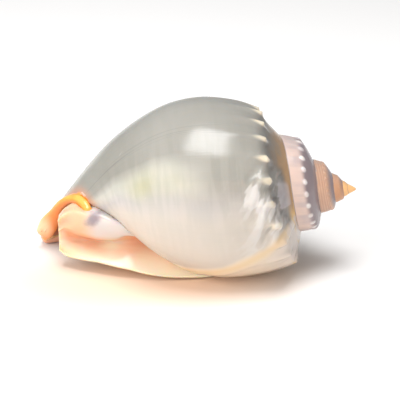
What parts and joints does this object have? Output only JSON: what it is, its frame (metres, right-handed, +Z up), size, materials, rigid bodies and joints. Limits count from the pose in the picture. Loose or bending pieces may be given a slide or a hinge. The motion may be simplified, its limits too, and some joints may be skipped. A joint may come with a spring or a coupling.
{
  "type": "bonnet shell",
  "caption": "Glossy sea snail shell lying on its mouth: egg-shaped body whorl with a beaded shoulder, short pointed spire, turned-up canal and thick outer lip.",
  "frame": {"origin": "on the ground, under the middle of the shell's box", "axes": "+X along the coiling axis towards the apex, +Z up, -Y towards the inner lip's side"},
  "size_m": [0.0978, 0.0606, 0.0522],
  "materials": {
    "shell": "glossy, pale grey and cream, with an orange canal rim and a tan spire"
  },
  "bodies": {
    "root": {"shell": "shell"}
  },
  "joints": []
}
